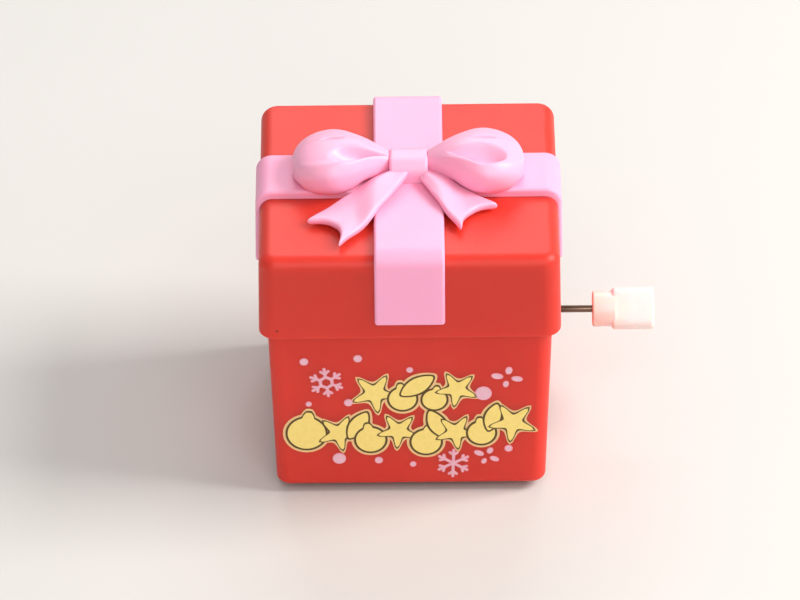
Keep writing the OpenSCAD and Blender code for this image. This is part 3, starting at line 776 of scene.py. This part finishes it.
def loop_surface(along, angle, hollow_at):
    """A point in mm of the loop on the +X side. along runs from 0 in the knot to 1 at the outer end."""
    highest_at = 0.5
    widest_at = 0.66
    hollow_half_length = 0.32
    hollow_back = -0.46
    crease_at = 0.6
    crease_back = 0.2
    past_middle = max(0, (along - highest_at) / (1 - highest_at))
    close = math.sqrt(max(0, 1 - past_middle ** 2))
    full = (1 - past_middle ** 2.5) ** 0.4
    swell = math.sin(math.pi / 2 * min(1, along / widest_at)) ** 1.5
    half_depth = (loop_root_half + (loop_half - loop_root_half) * swell) * full
    climb = math.sin(math.pi / 2 * min(1, along / highest_at))
    height = knot_rise + (loop_peak - bow_floor - knot_rise) * climb
    height *= 0.42 + 0.58 * close
    back = signed_power(math.cos(angle), 0.85)
    up = signed_power(math.sin(angle), 0.85)
    rise = height / 2 * (1 + up)
    if up > 0:
        hollow_half = 0.14 + 0.24 * smooth_step(0.02, hollow_at + 0.1, along)
        hollow = ((along - hollow_at) / hollow_half_length) ** 2 + ((back - hollow_back) / hollow_half) ** 2
        rise -= hollow_deep * smooth_step(0, 1, 1 - hollow)
        crease = ((along - crease_at) / 0.12) ** 2 + ((back - crease_back) / 0.075) ** 2
        rise -= crease_deep * max(0, 1 - crease)
        rise -= lip_high * smooth_step(0.2, 0.3, back) * smooth_step(0.2, 0.45, along) * close
        lip = math.exp(-((back + 0.8) / 0.12) ** 2)
        rise += lip_high * lip * smooth_step(0.05, 0.3, along) * close
    y = loop_middle * smooth_step(0, 0.4, along) + half_depth * back
    sag = front_sag * smooth_step(3.8, 6.3, -y) * smooth_step(-0.1, 0.8, -up)
    return Vector((loop_start + (loop_end - loop_start) * along, y, bow_floor + rise - sag))


def bow_loop(name, side, hollow_at):
    """Models one loop from a ball with its poles in the knot and at the outer end."""
    bpy.ops.object.select_all(action="DESELECT")
    bpy.ops.mesh.primitive_uv_sphere_add(segments=144, ring_count=80, radius=1)
    loop = bpy.context.object
    loop.name = name
    loop.data.name = name
    for point in loop.data.vertices:
        x, y, z = point.co
        at = loop_surface(0.5 + 0.5 * z, math.atan2(x, y), hollow_at)
        if z < -0.9:
            at = at.lerp(Vector((at.x, 0, bow_floor + knot_rise / 2)), smooth_step(0.9, 1, -z))
        point.co = Vector((side * at.x, at.y, at.z)) * mm
    bpy.ops.object.mode_set(mode="EDIT")
    bpy.ops.mesh.select_all(action="SELECT")
    bpy.ops.mesh.remove_doubles(threshold=0.002 * mm)
    bpy.ops.mesh.normals_make_consistent(inside=False)
    bpy.ops.object.mode_set(mode="OBJECT")
    bpy.ops.object.shade_smooth()
    return loop


# The same pink ABS from a smoother mould, so its highlights are a little brighter.
# Its base colour is painted a touch paler than the ribbon's, as painted light: a lit copy of the same pink.
pink_bow_lit_paler = moulded_plastic("pink_abs_bow_painted_paler", "#FFB3D1", "#FDADCC", 0.38, 0.5, 0.015, 0.35, 1.3, 0, 0.5)
bow_left = bow_loop("pink_bow_loop_left", -1, 0.33)
bow_right = bow_loop("pink_bow_loop_right", 1, 0.54)
place_piece(bow_left, "casing", ["bow"], pink_bow_lit_paler)
place_piece(bow_right, "casing", [], pink_bow_lit_paler)

knot_high = 3.4
knot_round = 2.2
knot_corner = 0.55
knot = block("pink_bow_knot", (-2.9, -3.4, bow_floor), (3.0, 2.7, bow_floor + knot_high))
bpy.ops.object.mode_set(mode="EDIT")
pick_edges(lambda a, b: min(a.z, b.z) > bow_floor + 3 and abs(a.x - b.x) > 1)
round_edges(knot_round, 10)
pick_edges(lambda a, b: a.x * b.x > 0 and abs(a.x - b.x) < 0.01 and max(a.z, b.z) > bow_floor + 0.1)
round_edges(knot_corner, 4)
bpy.ops.object.mode_set(mode="OBJECT")
finish_surface(knot)
place_piece(knot, "casing", [], pink_bow_lit_paler)


tail_thick = 1.25
tail_arch = 0.5
tail_crown = 0.45
tail_fold = 0.45
root_sink = 0.9


def bow_tail(name, start, start_half, side_a, side_b, notch, bulge, lift_tip, rise, tilt):
    """A flat end of the ribbon, from the knot to two tips with a notch between, thick and softly arched.

    rise and tilt lift its root, bulge widens its middle, and lift_tip curls its end off the lid.
    """
    rows, columns = 18, 8
    bpy.ops.object.select_all(action="DESELECT")
    bpy.ops.mesh.primitive_grid_add(x_subdivisions=columns, y_subdivisions=rows, size=2)
    tail = bpy.context.object
    tail.name = name
    tail.data.name = name
    tip_a = Vector(side_a)
    tip_b = Vector(side_b)
    tips_middle = tip_a.lerp(tip_b, 0.5)
    lead = (tip_b - tip_a).normalized()
    for point in tail.data.vertices:
        across = 0.5 + 0.5 * point.co.x
        along = 0.5 + 0.5 * point.co.y
        off_middle = 2 * across - 1
        root = Vector(start) + lead * start_half * off_middle
        dent = (Vector(notch) - tips_middle) * (math.sin(math.pi * across) ** 0.8)
        flat = root.lerp(tip_a.lerp(tip_b, across) + dent, along)
        flat += lead * bulge * off_middle * math.sin(math.pi * along) ** 1.2
        off_ribbon = smooth_step(4.6, 8.5, abs(flat.x))
        under = lid_top + tail_thick + (bow_floor - lid_top - 0.1) * (1 - off_ribbon)
        arch = rise * (1 - along) ** 1.3 + tail_arch * math.sin(math.pi * along)
        arch += tilt * off_middle * (1 - smooth_step(0.1, 0.6, along))
        arch -= root_sink * (1 - smooth_step(0, 0.12, along))
        fold = tail_fold * math.exp(-((across - 0.36) / 0.16) ** 2) * (1 - smooth_step(0.2, 0.95, along))
        curl = lift_tip * smooth_step(0.72, 1, along) * (0.35 + 0.65 * abs(off_middle))
        height = under + arch + fold + curl - tail_crown * off_middle ** 2
        point.co = Vector((flat.x, flat.y, height)) * mm
    bpy.ops.object.mode_set(mode="EDIT")
    bpy.ops.mesh.select_all(action="SELECT")
    bpy.ops.mesh.normals_make_consistent(inside=False)
    bpy.ops.object.mode_set(mode="OBJECT")
    if tail.data.polygons[rows * columns // 2].normal.z < 0:
        tail.data.flip_normals()
    thick = tail.modifiers.new("thickness", "SOLIDIFY")
    thick.thickness = tail_thick * mm
    thick.offset = -1
    bpy.ops.object.modifier_apply(modifier=thick.name)
    soft = tail.modifiers.new("soft_form", "SUBSURF")
    soft.levels = 2
    soft.render_levels = 2
    bpy.ops.object.modifier_apply(modifier=soft.name)
    bpy.ops.object.shade_smooth()
    return tail


tail_left = bow_tail("pink_bow_tail_left", start=(0.3, -0.2), start_half=1.35,
                     side_a=(-15.7, -13.3), side_b=(-10.7, -20.1), notch=(-11.0, -14.7),
                     bulge=0.8, lift_tip=0.7, rise=0.6, tilt=0.75)
tail_right = bow_tail("pink_bow_tail_right", start=(1.3, -0.4), start_half=1.2,
                      side_a=(8.1, -16.0), side_b=(13.7, -9.4), notch=(9.4, -11.3),
                      bulge=0.5, lift_tip=0.75, rise=0.1, tilt=-0.1)
place_piece(tail_left, "casing", [], pink_bow_lit_paler)
place_piece(tail_right, "casing", [], pink_bow_lit_paler)

# ---- winding knob ----
# A natural nylon moulding pressed on the end of the arbor: a round collar and a grip with two
# flats for finger and thumb. The nylon lets light in, so it glows. Its colour is painted peach towards the
# red box, as painted red bounce light.

knob_low, knob_high = (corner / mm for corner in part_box("winding_knob"))
collar_length = 2.95
collar_radius = 2.75
collar_round = 0.3
grip_round = 0.55
grip_radius = 3.25
grip_flat = 2.1
flats_turn = math.radians(147)
corner_sharpness = 9


def round_bar(name, start_x, length, radius, sides):
    """A round bar in mm along X, on the arbor's line."""
    bpy.ops.object.select_all(action="DESELECT")
    bpy.ops.mesh.primitive_cylinder_add(vertices=sides, radius=radius * mm, depth=length * mm)
    bar = bpy.context.object
    bar.name = name
    bar.data.name = name
    bar.rotation_euler = (0, math.pi / 2, 0)
    bar.location = ((start_x + length / 2) * mm, 0, arbor_z * mm)
    bpy.ops.object.transform_apply(location=True, rotation=True, scale=True)
    return bar


knob = round_bar("nylon_winding_knob", knob_low.x, collar_length + 0.5, collar_radius, 72)
bpy.ops.object.mode_set(mode="EDIT")
pick_edges(lambda a, b: max(a.x, b.x) < knob_low.x + 0.01)
round_edges(collar_round, 4)
bpy.ops.object.mode_set(mode="OBJECT")

grip_x = knob_low.x + collar_length
grip = round_bar("grip", grip_x, knob_high.x - grip_x, grip_radius, 96)
bpy.ops.object.mode_set(mode="EDIT")
pick_edges(lambda a, b: max(a.x, b.x) < grip_x + 0.01 or min(a.x, b.x) > knob_high.x - 0.01)
round_edges(grip_round, 6)
bpy.ops.object.mode_set(mode="OBJECT")
for point in grip.data.vertices:
    out = Vector((0, point.co.y, point.co.z - arbor_z * mm))
    towards_flat = abs(math.cos(math.atan2(out.z, out.y) - flats_turn))
    flatter = (1 + (towards_flat * grip_radius / grip_flat) ** corner_sharpness) ** (-1 / corner_sharpness)
    point.co += out * (flatter - 1)
cut(knob, grip, "UNION")
finish_surface(knob)


def translucent_nylon():
    """Natural nylon 66, moulded: a milky body that light enters, with a soft gloss and faint flow marks."""
    material = blank_material("nylon_knob_painted_red_bounce")
    place = add_node(material, "ShaderNodeTexCoord", {})
    apart = add_node(material, "ShaderNodeSeparateXYZ", {}, {"Vector": place.outputs["Object"]})
    # Painted red bounce light: the base colour runs from peach near the box to white towards the grip's end,
    # standing in for light bounced off the red box.
    red_bounce_painted_until = 28 * mm
    red_bounce_painted_gone_from = 34 * mm
    share = add_node(material, "ShaderNodeMapRange", {"From Min": red_bounce_painted_until, "From Max": red_bounce_painted_gone_from},
                     {"Value": apart.outputs["X"]})
    tone = add_node(material, "ShaderNodeValToRGB", {}, {"Fac": share.outputs["Result"]})
    tone.color_ramp.elements[0].color = linear("#EFCFC4")
    tone.color_ramp.elements[1].color = linear("#EBE4E0")
    flow = add_node(material, "ShaderNodeTexNoise", {"Scale": 900, "Detail": 2},
                    {"Vector": place.outputs["Object"]})
    sheen = add_node(material, "ShaderNodeMapRange", {"To Min": 0.3, "To Max": 0.4},
                     {"Value": flow.outputs["Fac"]})
    bump = add_node(material, "ShaderNodeBump", {"Strength": 0.2, "Distance": 0.02 * mm},
                    {"Height": flow.outputs["Fac"]})
    shader = add_node(material, "ShaderNodeBsdfPrincipled",
                      {"IOR": 1.53, "Subsurface Weight": 0.6, "Subsurface Scale": 1.6 * mm},
                      {"Base Color": tone.outputs["Color"], "Roughness": sheen.outputs["Result"],
                       "Normal": bump.outputs["Normal"]})
    return output_of(material, shader)


place_piece(knob, "winder", ["winding_knob"], translucent_nylon())
